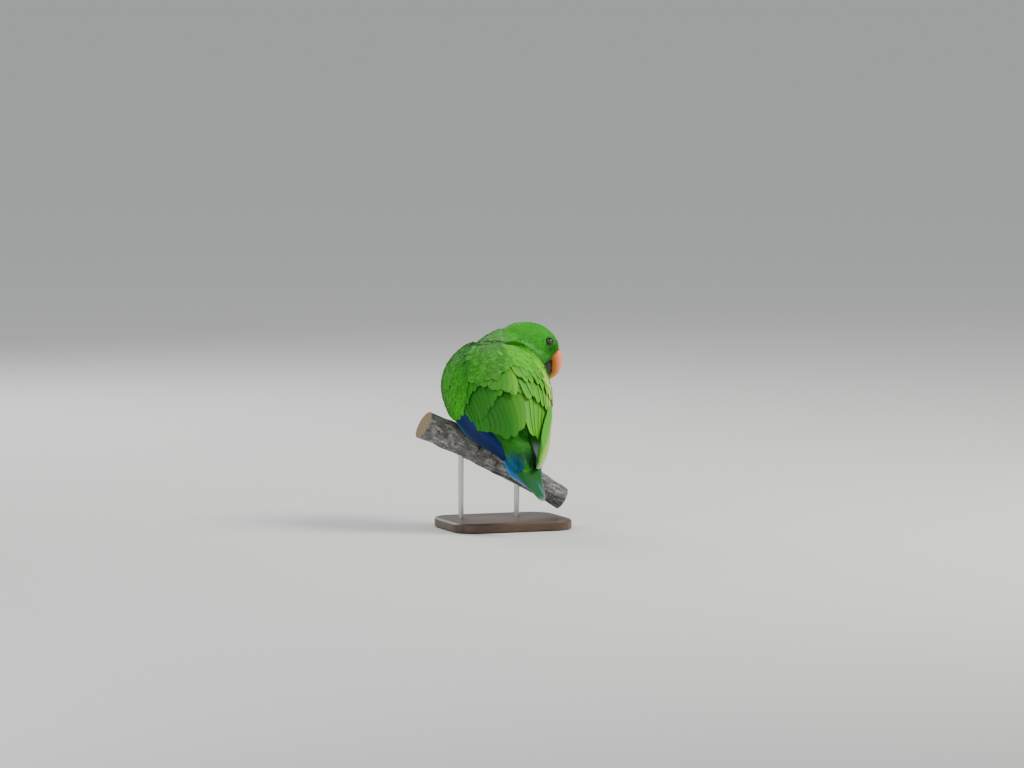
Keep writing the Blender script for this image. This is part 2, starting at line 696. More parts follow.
def head_map(points):
    """Unwrap of the head: angle round its long axis across the map, distance along it up the map."""
    ahead, right, up = head_frame(points)
    return np.stack([0.02 + 0.96 * (np.arctan2(right, up + 22) / (2 * np.pi) + 0.5),
                     0.02 + 0.95 * np.clip((ahead + 80) / 90, 0, 1)], -1)


def shaded(colour, t, root_share, tip_share):
    """Tint along small feathers: root_share of their colour at the root, rising to tip_share of it."""
    return colour[:, None, None] * mix(root_share, tip_share, ease(t * 1.2))[None, :, None, None]


def vane_piece(name, finish, spine, up, half, tint, roots=None, lean=0.0, camber=0.012, thick=0.35,
               columns=5):
    """Every feather's upper face is spine + side * half * c + up * (lean * x - camber * x^2 + ridge),
    where x is half * c in millimetres and c runs from -1 to 1; the lower face is thick below it and
    thins to the tip. Arrays are (feather, station, ...), and roots are places on the unwrap."""
    count, stations = spine.shape[:2]
    if roots is None:
        roots = body_map(spine[:, 0])
    heading = unit(np.gradient(spine, axis=1))
    up = unit(up - heading * (up * heading).sum(-1, keepdims=True))
    side = np.cross(up, heading)
    c = np.linspace(-1, 1, columns)
    across = half[..., None] * c
    lean = np.broadcast_to(np.asarray(lean, float), (count,))[:, None, None]
    ridge = SHAFT_RIDGE * thick * (1 - np.abs(c)) ** 2
    rise = lean * across - camber * across**2 + ridge
    top = spine[:, :, None] + side[:, :, None] * across[..., None] + up[:, :, None] * rise[..., None]
    thin = thick * mix(1.0, 0.45, np.linspace(0, 1, stations) ** 2)[None, :, None] * mix(1, 0.6, c**2)
    bottom = top - up[:, :, None] * thin[..., None]
    points = np.stack([top, bottom], 1).reshape(-1, 3)

    corners = np.arange(2 * stations * columns).reshape(2, stations, columns)
    upper, lower = corners
    faces = [
        (upper[:-1, :-1], upper[1:, :-1], upper[1:, 1:], upper[:-1, 1:]),
        (lower[:-1, :-1], lower[:-1, 1:], lower[1:, 1:], lower[1:, :-1]),
        (upper[:-1, 0], lower[:-1, 0], lower[1:, 0], upper[1:, 0]),
        (upper[:-1, -1], upper[1:, -1], lower[1:, -1], lower[:-1, -1]),
        (upper[0, :-1], upper[0, 1:], lower[0, 1:], lower[0, :-1]),
        (upper[-1, :-1], lower[-1, :-1], lower[-1, 1:], upper[-1, 1:]),
    ]
    quads = np.concatenate([np.stack([corner.ravel() for corner in face], 1) for face in faces])
    loops = (quads[None] + (np.arange(count) * corners.size)[:, None, None]).reshape(-1)
    mesh = bpy.data.meshes.new(name)
    mesh.vertices.add(len(points))
    mesh.vertices.foreach_set("co", (points * MM).astype(np.float32).ravel())
    mesh.loops.add(len(loops))
    mesh.loops.foreach_set("vertex_index", loops.astype(np.int32))
    mesh.polygons.add(len(loops) // 4)
    mesh.polygons.foreach_set("loop_start", np.arange(0, len(loops), 4, dtype=np.int32))
    mesh.update(calc_edges=True)

    def on_both(values):
        """Values of the upper face given to the lower one too, a row for each vertex."""
        return np.stack([values, values], 1).reshape(-1, values.shape[-1])

    pace = np.linalg.norm(np.diff(spine, axis=1), axis=-1)
    length = np.concatenate([np.zeros((count, 1)), np.cumsum(pace, 1)], 1)
    vane = np.stack([np.broadcast_to(length[..., None], across.shape), across], -1)
    share = np.linspace(0, 1, stations)[None, :, None]
    patch = np.clip(np.stack([
        roots[:, 0, None, None] + BAKE_PATCH * (c + 0 * share) / 2,
        roots[:, 1, None, None] + BAKE_PATCH * (share + 0 * c),
    ], -1), 0, 1)
    for layer, place in (("vane", vane), ("OFBake", patch)):
        uv = on_both(place)[loops].astype(np.float32)
        mesh.uv_layers.new(name=layer).data.foreach_set("uv", uv.ravel())
    set_tint(mesh, on_both(np.broadcast_to(tint, (count, stations, columns, 3))))
    mesh.shade_smooth()
    mesh.set_sharp_from_angle(angle=1.0)
    mesh.materials.append(finish)
    piece = bpy.data.objects.new(name, mesh)
    bpy.context.scene.collection.objects.link(piece)
    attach(piece, BODY)
    return piece


# Coat: small contour feathers over the skin, short and dense on the face, longer down the neck and
# loose on the trunk. They stream back from the bill along the neck to the tail.
FEATHER_BREADTH = 0.36
LENGTH_SPREAD = (0.85, 1.15)
TONE_SPREAD = 0.07
DRAWS_TO_A_CUBE = 7
skin_mesh.calc_loop_triangles()
tri = np.empty(len(skin_mesh.loop_triangles) * 3, np.int32)
skin_mesh.loop_triangles.foreach_get("vertices", tri)
tri = tri.reshape(-1, 3)
skin_normals = np.empty(len(skin_mesh.vertices) * 3, np.float32)
skin_mesh.vertices.foreach_get("normal", skin_normals)
skin_normals = skin_normals.reshape(-1, 3)
corner_a, corner_b, corner_c = (skin_points[tri[:, i]] for i in range(3))
skin_area = np.linalg.norm(np.cross(corner_b - corner_a, corner_c - corner_a), axis=1) / 2


def thin_out(points, spacing):
    """Index of the point nearest the middle of each cube of a lattice."""
    cell = np.floor(points / spacing).astype(np.int64)
    middle = np.linalg.norm(points - (cell + 0.5) * spacing, axis=1)
    key = (cell[:, 0] * 4096 + cell[:, 1]) * 4096 + cell[:, 2]
    order = np.lexsort((middle, key))
    return order[np.unique(key[order], return_index=True)[1]]


def scatter(spacing, seed):
    """Points and normals spread evenly over the skin: random points on its triangles by area, then
    the one nearest the middle of each cube of a lattice."""
    draw = np.random.default_rng(seed)
    count = int(skin_area.sum() / spacing**2 * DRAWS_TO_A_CUBE)
    chosen = np.searchsorted(np.cumsum(skin_area), draw.random(count) * skin_area.sum())
    chosen = np.minimum(chosen, len(tri) - 1)
    a = np.sqrt(draw.random(count))
    b = draw.random(count)
    weights = np.stack([1 - a, a * (1 - b), a * b], 1)[..., None]
    points = (skin_points[tri[chosen]] * weights).sum(1)
    normals = unit((skin_normals[tri[chosen]] * weights).sum(1))
    keep = thin_out(points, spacing)
    return points[keep], normals[keep]


neck_steps = np.linspace(0, 1, 60)
neck_points = path_point(NECK_PATH, neck_steps)
neck_headings = unit(np.gradient(neck_points, axis=0))


def streaming(points, normals):
    """Way each feather points: away from the bill on the head, down the neck, then along the spine
    and a little down, turned into the skin's own plane."""
    distance = np.linalg.norm(points[:, None] - neck_points[None], axis=2)
    nearest = distance.argmin(1)
    head = head_share(points)[:, None]
    from_bill = unit(unit(points - in_head(4.0, 0.0, -12.0)) - 0.7 * head_forward)
    down_neck = -neck_headings[nearest]
    neck = (ease((neck_steps[nearest] - 0.1) / 0.3) * ease((44 - distance.min(1)) / 12))[:, None]
    body = -forward + np.array([0, 0, -0.3])
    way = mix(mix(body, down_neck, neck), from_bill, head)
    way = way - normals * (way * normals).sum(1, keepdims=True)
    return unit(way)


def wing_cover(points):
    """True where a folded wing lies over the trunk."""
    side, along, back = body_frame(points)
    around = np.degrees(np.arctan2(side, back))
    inner = np.interp(along, WING_CORE[:, 0], WING_CORE[:, 1])
    outer = np.interp(along, WING_CORE[:, 0], WING_CORE[:, 2])
    under = (np.abs(around) > inner + 6) & (np.abs(around) < outer - 6) & (along > -50)
    tertials = (along > 45) & (around > -4) & (around < 80) & (along < 84)
    return under | tertials


def contour_coat(name, spacing, seed, wanted, size, bow_radius, mapping, lift):
    """Feathers rooted lift[0] under the skin, rising to lift[1] over it at their tips as 3t^2 - 2t^3,
    and bent down to the body's curve by reach^2 / 2r."""
    points, normals = scatter(spacing, seed)
    keep = wanted(points)
    points, normals = points[keep], normals[keep]
    count = len(points)
    draw = np.random.default_rng(seed + 100)
    way = streaming(points, normals)
    spin = draw.normal(0, 0.13, count)[:, None]
    way = unit(way + np.cross(normals, way) * spin)
    length = size(points) * draw.uniform(*LENGTH_SPREAD, count)
    t = from_root(5, crowding=1.35)
    reach = length[:, None] * t
    rise = -lift[0] + (lift[1] + lift[0] + draw.normal(0, 0.18, count)[:, None]) * ease(t * 1.05)
    fall = reach**2 / (2 * bow_radius)
    raised = normals[:, None] * (rise - fall)[..., None]
    spine = points[:, None] + way[:, None] * reach[..., None] + raised
    up = unit(normals[:, None] + way[:, None] * (reach / bow_radius)[..., None])
    half = web_width(t[None], (length * FEATHER_BREADTH)[:, None], roundness=0.5)
    tone = body_tint(points) * draw.normal(1, TONE_SPREAD, count)[:, None]
    lean = draw.normal(0, 0.08, count)
    vane_piece(name, contour_finish, spine, up, half, shaded(tone, t, 0.75, 1.04), mapping(points),
               lean=lean, camber=0.03, thick=0.3, columns=3)


def on_face(points):
    """True on the head, behind the bill's root and off the eyes."""
    ahead, right, up = head_frame(points)
    off_eye = np.hypot(ahead - EYE_PLACE[0], up - EYE_PLACE[2])
    eye_gap = np.hypot(off_eye, (np.abs(right) - 15) * 0.8)
    return (head_share(points) > 0.45) & (eye_gap > 3.7) & (ahead < 0.2)


def on_body(points):
    """True off the head, outside the wings and clear of the perch."""
    above_perch = (points - PERCH_CENTRE) @ perch_top > 4
    return (head_share(points) <= 0.45) & ~wing_cover(points) & above_perch


def face_size(points):
    """Length of a feather: 3.2 mm at the bill, 6.8 mm at the nape."""
    ahead, right, up = head_frame(points)
    return 3.2 + 3.6 * ease((-6 - ahead) / 40)


def body_size(points):
    """Length of a feather: 8 mm on the shoulders, 15 mm from the trunk's middle on."""
    side, along, back = body_frame(points)
    return 8.0 + 7.0 * ease((along + 45) / 45)


contour_coat("coat_head", spacing=1.75, seed=11, wanted=on_face, size=face_size, bow_radius=24,
             mapping=head_map, lift=(0.15, 0.55))
contour_coat("coat_body", spacing=3.9, seed=12, wanted=on_body, size=body_size, bow_radius=46,
             mapping=body_map, lift=(0.2, 1.2))

# Wings: flight feathers and greater and median coverts laid in tiers like shingles, under a dense
# field of small coverts and the lobe of scapulars. The left wing droops; the right is folded tight.
PALE_RIM = np.array([0.62, 0.86, 0.17])
LIME = np.array([0.24, 0.72, 0.015])
LARGE_COLUMNS = 7
LARGE_STATIONS = 12
across_vane = np.linspace(-1, 1, LARGE_COLUMNS)
# (tier, number of feathers, line of their roots, line of their tips, half-widths and heights at the
# tier's two ends); the lines are (share of the tier, along the spine, degrees round it)
LEFT_TIERS = [
    ("secondaries", 15, [(0, 2, 98), (0.5, 14, 62), (1, 20, 12)],
     [(0, 50, 93), (0.2, 67, 80), (0.4, 81, 60), (0.6, 92, 39), (0.8, 98, 18), (1, 90, -2)],
     (9, 12.5), (-6.6, -0.6)),
    ("greater_coverts", 15, [(0, -8, 96), (0.5, 2, 62), (1, 4, 20)],
     [(0, 42, 94), (0.25, 58, 77), (0.5, 68, 59), (0.7, 63, 43), (1, 48, 14)], (6, 8), (-5.4, 0.0)),
    ("median_coverts", 15, [(0, -20, 97), (0.5, -14, 64), (1, -18, 26)],
     [(0, 30, 96), (0.35, 44, 77), (0.7, 38, 54), (1, 24, 30)], (5.6, 7), (-4.6, 0.4)),
    ("scapulars", 10, [(0, -8, 47), (1, 2, 7)],
     [(0, 26, 45), (0.4, 36, 31), (1, 54, 4)], (6.5, 9), (-2.6, 2.0)),
]
RIGHT_TIERS = [
    ("secondaries", 13, [(0, 2, 98), (0.5, 14, 66), (1, 22, 16)],
     [(0, 58, 99), (0.4, 84, 84), (0.75, 99, 58), (1, 94, 29)], (8.5, 12), (-6.6, -0.6)),
    ("greater_coverts", 14, [(0, -8, 97), (0.5, 0, 66), (1, 4, 12)],
     [(0, 42, 98), (0.5, 62, 68), (1, 56, 17)], (6, 8.5), (-5.6, 0.1)),
    ("median_coverts", 14, [(0, -22, 97), (0.5, -16, 66), (1, -12, 12)],
     [(0, 24, 98), (0.5, 40, 68), (1, 36, 14)], (5.6, 7), (-4.8, 0.6)),
    ("scapulars", 11, [(0, -22, 50), (1, -10, 6)],
     [(0, 18, 52), (0.5, 28, 30), (1, 32, 6)], (5.6, 7), (-4.6, 1.2)),
]
# Outlines of the fields of small feathers, (along the spine, degrees round it)
LESSER_BAND = {
    1: [(-57, 60), (-50, 38), (-32, 26), (-16, 38), (2, 48), (20, 57), (38, 75), (41, 86), (33, 98),
        (22, 107), (4, 111), (-26, 108), (-46, 98), (-56, 78)],
    -1: [(-57, 60), (-50, 36), (-34, 7), (-16, 0), (4, 2), (12, 24), (18, 48), (24, 70), (30, 98),
         (18, 108), (-8, 110), (-42, 101), (-56, 78)],
}
SCAPULAR_LOBE = [(-31, 36), (-18, 40), (8, 43), (17, 36), (19, 22), (13, 12), (4, 3), (-14, 4), (-26, 9),
                 (-33, 22)]
BACK_FIELD = [(-59, 50), (-30, 40), (-12, 16), (0, 4), (30, 0), (40, -8), (32, -22), (-10, -34),
              (-30, -40), (-59, -50)]
RIGHT_CONTOUR = [(-30, 22), (-17, 33), (-5, 40), (5, 46), (12, 50), (20, 54), (30, 58), (48, 62),
                 (80, 72)]


def tier_spines(side, count, roots, tips, heights, stations, draw):
    """Spine of each feather: root and tip read along the tier's tables, joined by a line on the
    envelope that rises from the root's height to the tip's."""
    share = np.linspace(0, 1, count)
    t = from_root(stations, crowding=1.4)
    root = [smooth_curve([(r[0], r[i]) for r in roots], share) for i in (1, 2)]
    tip = [smooth_curve([(r[0], r[i]) for r in tips], share) for i in (1, 2)]
    tip[0] = tip[0] + draw.normal(0, 1.3, count)
    tip[1] = tip[1] + draw.normal(0, 0.7, count)
    along = mix(root[0][:, None], tip[0][:, None], t)
    around = side * mix(root[1][:, None], tip[1][:, None], t)
    height = mix(heights[0], heights[1] + draw.normal(0, 0.15, count)[:, None], ease(t))
    spine, up = envelope(along, around, height)
    return share, t, spine, up


def near_contour(along, around, reach):
    """1 on the right wing's bent edge, falling to 0 reach degrees inwards and, past 10 degrees,
    outwards."""
    past = np.abs(around) - np.interp(along, *np.array(RIGHT_CONTOUR, float).T)
    return ease((past + reach) / reach) * ease((10 + reach - past) / reach) * ease((along + 22) / 16)


def tier_tint(side, name, share, t, draw, chart):
    """Tints of one tier. c runs across the vane, so -side * c is 1 at the outer edge. The left wing
    is mid green with brighter inner edges, the right yellow green with pale outer edges."""
    tone = draw.normal(1, 0.06, len(share))[:, None, None, None]
    share, t, c = share[:, None, None], t[None, :, None], across_vane[None, None, :]
    outer = -side * c + 0 * share + 0 * t
    if side > 0:
        large = name in ("secondaries", "greater_coverts")
        base = WING_GREEN if large else mix(WING_GREEN, BAND_GREEN, 0.55)
        if name == "scapulars":
            base = mix(MANTLE_SAGE, BAND_GREEN, 0.6)
        colour = tone * base + 0 * outer[..., None]
        bright = ease((share - 0.78) / 0.22) * ease(0.3 - outer)
        colour = mix(colour, LIME, bright[..., None] * (0.6 if name == "scapulars" else 0.25))
        wrist = ease((0.35 - share) / 0.35) + 0 * outer
        colour = mix(colour, BAND_GREEN * 1.2, wrist[..., None] * 0.6)
    else:
        base = mix(mix(WING_GREEN, MANTLE_SAGE, 0.5), SUNNY_GREEN, 0.5)
        colour = tone * base + 0 * outer[..., None]
        edge = ease((np.abs(outer) - 0.35) / 0.6) + 0.2 * ease((t - 0.75) / 0.25)
        colour = mix(colour, LIME, np.clip(edge, 0, 1)[..., None] * 0.45)
        colour = mix(colour, PALE_RIM, near_contour(*chart, 9)[..., None] * 0.9)
    dusk = mix(0.8, 1.03, ease(t * 1.15)) * mix(1.0, 0.93, c**4)
    return colour * dusk[..., None]


def build_tiers(side, label, tiers, seed):
    """The large feathers of one wing, each tier a piece of its own."""
    pieces = []
    for number, (name, count, roots, tips, half, heights) in enumerate(tiers):
        draw = np.random.default_rng(seed + number)
        share, t, spine, up = tier_spines(side, count, roots, tips, heights, LARGE_STATIONS, draw)
        width = mix(half[0], half[1], share) * draw.normal(1, 0.05, count)
        width = web_width(t[None], width[:, None], roundness=0.55)
        side_of, along, back = body_frame(spine)
        around = np.degrees(np.arctan2(side_of, back))[..., None] - width[..., None] * across_vane
        tint = tier_tint(side, name, share, t, draw, (along[..., None] + 0 * across_vane, around))
        pieces.append(vane_piece(
            f"wing_{label}_{name}", flight_finish, spine, up, width, tint, lean=side * 0.09,
            camber=0.0085, thick=0.45, columns=LARGE_COLUMNS))
    return pieces


FIELD_DRAWS = 90000


def inside(outline, along, around):
    """True where a point lies inside the outline: the count of its sides that a line crosses is odd."""
    corners = np.array(outline, float)
    odd = np.zeros(along.shape, bool)
    for (a0, b0), (a1, b1) in zip(corners, np.roll(corners, -1, 0)):
        level = b1 - b0 if b1 != b0 else 1e-9
        crosses = ((b0 > around) != (b1 > around)) & (along < (a1 - a0) * (around - b0) / level + a0)
        odd ^= crosses
    return odd


def wing_field(name, side, outline, spacing, length, rise, drift, tone, seed, sink):
    """Small feathers spread over an outline on the envelope, each laid tailward with drift degrees of
    turn for each millimetre, climbing from rise[0] to rise[1] as 3t^2 - 2t^3. The field lies deeper
    by sink at the front of the back's middle, which fades out over 35 mm behind and 20 degrees round."""
    draw = np.random.default_rng(seed)
    low, high = np.min(outline, 0), np.max(outline, 0)
    along = draw.uniform(low[0], high[0], FIELD_DRAWS)
    around = draw.uniform(low[1], high[1], FIELD_DRAWS)
    wanted = inside(outline, along, around)
    along, around = along[wanted], around[wanted] * side
    keep = thin_out(envelope(along, around)[0], spacing)
    along, around = along[keep], around[keep]
    count = len(along)
    here = envelope(along, around)[0]
    metric = np.linalg.norm(envelope(along + 1, around)[0] - here, axis=-1)
    reach = length * draw.uniform(*LENGTH_SPREAD, count) / np.maximum(metric, 0.6)
    turn_by = (drift * side + draw.normal(0, 0.16, count)) * reach
    t = from_root(6, crowding=1.35)
    height = mix(rise[0], rise[1] + draw.normal(0, 0.22, count)[:, None], ease(t))
    dip = sink * (1 - ease((along + 42) / 35)) * (1 - ease((np.abs(around) - 22) / 20))
    height = height - dip[:, None]
    spine, up = envelope(along[:, None] + reach[:, None] * t, around[:, None] + turn_by[:, None] * t,
                         height)
    half = web_width(t[None], np.full((count, 1), length * FEATHER_BREADTH), roundness=0.45)
    colour = tone(along, around * side, here) * draw.normal(1, TONE_SPREAD, count)[:, None]
    lean = draw.normal(0, 0.05, count)
    vane_piece(name, contour_finish, spine, up, half, shaded(colour, t, 0.84, 1.03), body_map(here),
               lean=lean, camber=0.014, thick=0.26)


def left_band_tone(along, around, points):
    """Bright green towards the wing's edge, duller inwards and at the wrist."""
    tone = mix(WING_GREEN, BAND_GREEN, ease((around - 38) / 26)[:, None])
    tone = mix(tone, BAND_GREEN * 1.35, (ease((along - 5) / 40) * ease((around - 60) / 20))[:, None])
    return tone * (1 + 0.16 * mottle(points, size=9, seed=41))[:, None]


def lobe_tone(along, around, points):
    """Sage in the middle of the lobe, with brighter edges at its right and its point."""
    tone = mix(BAND_GREEN, MANTLE_SAGE, 0.55)
    right_edge = ease((9 - around) / 9) * ease((along + 14) / 30)
    tone = mix(tone, BAND_GREEN * 1.7, (right_edge * 0.9)[:, None])
    left_edge = ease((around - 28) / 12)
    tone = mix(tone, BAND_GREEN, (left_edge * 0.7)[:, None])
    return tone * (1 + 0.24 * mottle(points, size=7, seed=42))[:, None]


def back_tone(along, around, points):
    """Pale sage streaks between the shoulders, mid green lower down."""
    tone = mix(MANTLE_SAGE, STREAK_SAGE, streaked(points)[:, None])
    tone = mix(tone, SUNNY_GREEN * 0.9, (ease((-around) / 14) * ease((along + 30) / 20) * 0.8)[:, None])
    return mix(tone, BAND_GREEN, (ease((along + 12) / 26) * 0.7)[:, None])


def right_shoulder_tone(along, around, points):
    """Sunlit yellow green, greener out towards the wing's edge."""
    tone = mix(SUNNY_GREEN * 1.1, mix(BAND_GREEN, SUNNY_GREEN, 0.35), ease((around - 34) / 40)[:, None])
    rim = near_contour(along, around, 10)
    tone = mix(tone, LIME, (0.75 * rim)[:, None])
    tone = mix(tone, PALE_RIM, (0.9 * rim * ease(along / 12))[:, None])
    return tone * (1 + 0.12 * mottle(points, size=8, seed=44))[:, None]


left_wing = build_tiers(1, "left", LEFT_TIERS, seed=200)
right_wing = build_tiers(-1, "right", RIGHT_TIERS, seed=300)
wing_field("wing_left_lesser_coverts", 1, LESSER_BAND[1], spacing=2.7, length=9.5, rise=(-0.3, 1.1),
           drift=-0.06, tone=left_band_tone, seed=61, sink=6)
wing_field("wing_right_lesser_coverts", -1, LESSER_BAND[-1], spacing=2.7, length=9.5, rise=(-0.6, 0.7),
           drift=-0.06, tone=right_shoulder_tone, seed=62, sink=6)
wing_field("scapular_lobe", 1, SCAPULAR_LOBE, spacing=3.3, length=13, rise=(1.0, 2.8), drift=-0.12,
           tone=lobe_tone, seed=63, sink=6)
wing_field("back_feathers", 1, BACK_FIELD, spacing=3.7, length=13, rise=(-3.6, -1.8), drift=-0.02,
           tone=back_tone, seed=64, sink=5)
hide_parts("wing_left")
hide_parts("wing_right")

# Hand feathers: the long primaries, ultramarine with turquoise outer edges, fanned from the bend of
# each wing to its tip beside the tail. The right ones show yellow green webs and a grey lilac back.
DEEP_BLUE = np.array([0.003, 0.018, 0.11])
MID_BLUE = np.array([0.005, 0.045, 0.20])
TURQUOISE = np.array([0.01, 0.24, 0.34])
GREY_LILAC = np.array([0.50, 0.47, 0.60])
PALE_LILAC = np.array([0.75, 0.75, 0.78])
PRIMARIES = 9
PRIMARY_STATIONS = 14
PRIMARY_HALF_WIDTH = (7.6, 7.4)
PRIMARY_SUNK = 2.6
# (side, outermost feather's line, innermost one's, way out at root and tip, rise of the inner ones)
HANDS = {
    "left": (
        1,
        [[60, 4, -15], [57.5, 24, -29.5], [45.5, 45, -48.5], [28, 58, -61.5], [13, 70, -75], [2, 86, -93]],
        [[59, 8, -3], [56, 30, -15], [48, 50, -32], [37, 57, -46], [26, 63, -58], [15, 69, -69]],
        ([0.95, 0.25, 0.05], [0.35, 0.75, 0.55]), 3.0),
    "right": (
        -1,
        [[-56, 0, -14], [-57, 20, -24], [-51, 45, -45], [-42, 62, -62], [-29, 81, -76], [-14, 104, -88]],
        [[-55, 8, 0], [-54, 30, -10], [-46, 54, -26], [-38, 67, -40], [-31, 78, -53], [-24, 89, -67]],
        ([-0.95, 0.25, 0.05], [-0.6, 0.65, 0.45]), 4.0),
}
for label, (side, outer_line, inner_line, out_ways, stack) in HANDS.items():
    share = np.linspace(0, 1, PRIMARIES)
    rank = share[:, None, None]
    t = from_root(PRIMARY_STATIONS, crowding=1.2)
    outer = path_point(BIRD_CENTRE + np.array(outer_line, float), t)
    inner = path_point(BIRD_CENTRE + np.array(inner_line, float), t)
    out = unit(mix(np.array(out_ways[0]), np.array(out_ways[1]), t[:, None]))
    spine = mix(outer[None], inner[None], rank)
    lifted = share[:, None] * stack * ease(t / 0.35) - PRIMARY_SUNK * (1 - ease(t / 0.3))
    spine = spine + out[None] * lifted[..., None]
    up = np.broadcast_to(out[None], spine.shape)
    half = mix(*PRIMARY_HALF_WIDTH, share)[:, None]
    width = web_width(t[None], half, roundness=0.66, quill=0.8)
    far = t[None, :, None]
    c = across_vane[None, None]
    outer_web = ease((-side * c - 0.35) / 0.5) + 0 * far + 0 * rank
    colour = DEEP_BLUE + 0 * outer_web[..., None]
    if side > 0:
        colour = mix(colour, MID_BLUE, 0.5 * ease(0.7 - 0.6 * outer_web)[..., None])
        line = ease((-side * c - 0.72) / 0.25) * (1 - ease((far - 0.15) / 0.4))
        colour = mix(colour, TURQUOISE, (line * 0.8 * (1 - ease(rank / 0.25)))[..., None])
    else:
        rank = rank + 0 * outer_web
        green = mix(WING_GREEN, SUNNY_GREEN, 0.9)
        colour = mix(colour, green, (0.9 * ease((rank - 0.1) / 0.3))[..., None])
        pale = np.clip(ease((c - 0.5) / 0.4) + 0.3 * ease((0.3 - rank) / 0.2), 0, 1)
        colour = mix(colour, PALE_RIM, (0.85 * pale * mix(1, 0.5, rank))[..., None])
    vane_piece(f"hand_{label}", flight_finish, spine, up, width, colour, lean=-0.09 * side,
               camber=0.008, thick=0.5, columns=LARGE_COLUMNS)

# Tips of the right hand's outer primaries, turned over beside the tail: grey lilac undersides with
# pale edges, rooted under the tertials.
UNDER_ROOT = np.array([[-33.5, 56, -37], [-29, 58, -38], [-24.5, 60, -39]])
UNDER_TIP = np.array([[-20.5, 88, -99], [-21.5, 87, -96], [-20.5, 85.5, -90]])
UNDER_BOW = np.array([-1.5, 1.0, 1.0])
UNDER_FACING = np.array([0.15, 0.93, 0.33])
UNDER_HALF_WIDTH = np.array([[6.0], [6.5], [6.5]])
t = from_root(LARGE_STATIONS, crowding=1.2)
far = t[None, :, None]
spine = BIRD_CENTRE + mix(UNDER_ROOT[:, None], UNDER_TIP[:, None], far)
spine = spine + np.sin(np.pi * far) * UNDER_BOW
colour = mix(WING_GREEN, GREY_LILAC, ease((far - 0.38) / 0.26)[..., None])
pale = np.clip(ease((-across_vane - 0.5) / 0.4) * 0.8 + ease((far - 0.93) / 0.07), 0, 1)
colour = mix(colour, PALE_LILAC, (pale * 0.8 * ease((far - 0.5) / 0.3))[..., None])
width = web_width(t[None], UNDER_HALF_WIDTH, roundness=0.6, quill=0.7)
vane_piece("hand_right_undersides", flight_finish, spine, np.broadcast_to(UNDER_FACING, spine.shape),
           width, colour, camber=0.008, thick=0.4, columns=LARGE_COLUMNS)

# Tail: six pairs of rectrices, the middle pair on top, under a field of upper tail coverts. Green at
# the root, blue to the left and at the tips, with a turquoise line down the left edge.
TAIL_LENGTH = 112
TAIL_PAIRS = 6
TAIL_GREEN = np.array([0.010, 0.12, 0.012])
TAIL_TEAL = np.array([0.009, 0.125, 0.034])
TAIL_BLUE = np.array([0.018, 0.12, 0.36])
PALE_BLUE = np.array([0.12, 0.36, 0.50])
TAIL_EDGE = np.array([0.52, 0.46, 0.44])


def rectrices(side, stations):
    """Spines fanned from the mound; outer pairs are shorter, lower and tilted down at their edges.
    The left half spreads wider than the right."""
    share = np.linspace(0, 1, TAIL_PAIRS)
    t = from_root(stations, crowding=1.2)
    spread, shorter, lower = (14.0, 47, 0) if side > 0 else (6.5, 39, 0.45)
    length = mix(TAIL_LENGTH - 9, TAIL_LENGTH - shorter, share**0.85)[:, None]
    root_side = side * mix(1.5, 8, share)[:, None]
    tip_side = side * mix(1, spread, share**1.3)[:, None]
    drop = (-0.9 - share * 1.6 - lower)[:, None]
    across = mix(root_side, tip_side, t) + side * 3.5 * share[:, None] * np.sin(np.pi * t)
    return share, t, in_tail(16 + (length - 16) * t, across, drop - 1.5 * t * t)


for side, label in ((1, "left"), (-1, "right")):
    share, t, spine = rectrices(side, PRIMARY_STATIONS)
    tilt = np.radians(12) * side * share[:, None, None]
    up = np.broadcast_to(tail_up + tail_left * np.tan(tilt) * 0.8, spine.shape)
    width = web_width(t[None], mix(8, 8.5, share)[:, None], roundness=0.55, quill=0.8)
    far = t[None, :, None] + 0 * across_vane + 0 * share[:, None, None]
    rank = share[:, None, None] + 0 * far
    outer = -side * across_vane + 0 * far
    colour = mix(TAIL_GREEN, TAIL_TEAL, ease((far - 0.45) / 0.3)[..., None])
    if side > 0:
        blue = ease((rank + 1.2 * far - 1.15) / 0.35)
    else:
        blue = 0.9 * ease((rank - 0.3) / 0.3) * ease((far - 0.7) / 0.2) * ease((0.4 - outer) / 0.5)
    colour = mix(colour, TAIL_BLUE, blue[..., None])
    line = ease((outer - 0.6) / 0.4) * ease((rank - 0.75) / 0.2) * (1 - ease((far - 0.6) / 0.3))
    colour = mix(colour, TURQUOISE * 1.3, (line * 0.9)[..., None])
    rim = ease((far - 0.93) / 0.07) + ease((outer - 0.7) / 0.3) * ease((far - 0.7) / 0.25)
    colour = mix(colour, TAIL_EDGE, (np.clip(rim, 0, 1) * 0.7)[..., None])
    stripe = np.exp(-(((outer - 0.45) / 0.22) ** 2)) * ease((far - 0.6) / 0.2) * (side < 0)
    colour = mix(colour, PALE_BLUE, (stripe * 0.8)[..., None])
    vane_piece(
        f"tail_{label}", flight_finish, spine, up, width, colour, lean=-side * 0.04, camber=0.01,
        thick=0.5, columns=LARGE_COLUMNS)


# (ahead of the tail's root, half-width, height or depth) of the mound that the coverts lie on
COVERT_SIDES = [(-14, 22), (0, 19.5), (13, 18), (34, 16), (54, 12.5)]
COVERT_CROWN = [(-14, 20), (0, 18), (13, 15.5), (24, 11.2), (34, 6.2), (44, 0.8), (54, -2.8)]
COVERT_FLOOR = [(-14, 18), (13, 14), (34, 8), (54, 3)]
COVERT_AHEAD = (-12, 42)
COVERT_AROUND = (-112, 104)
COVERT_DRAWS = 30000
COVERT_LENGTH = (10, 13.5)
COVERT_HALF_WIDTH = 3.9


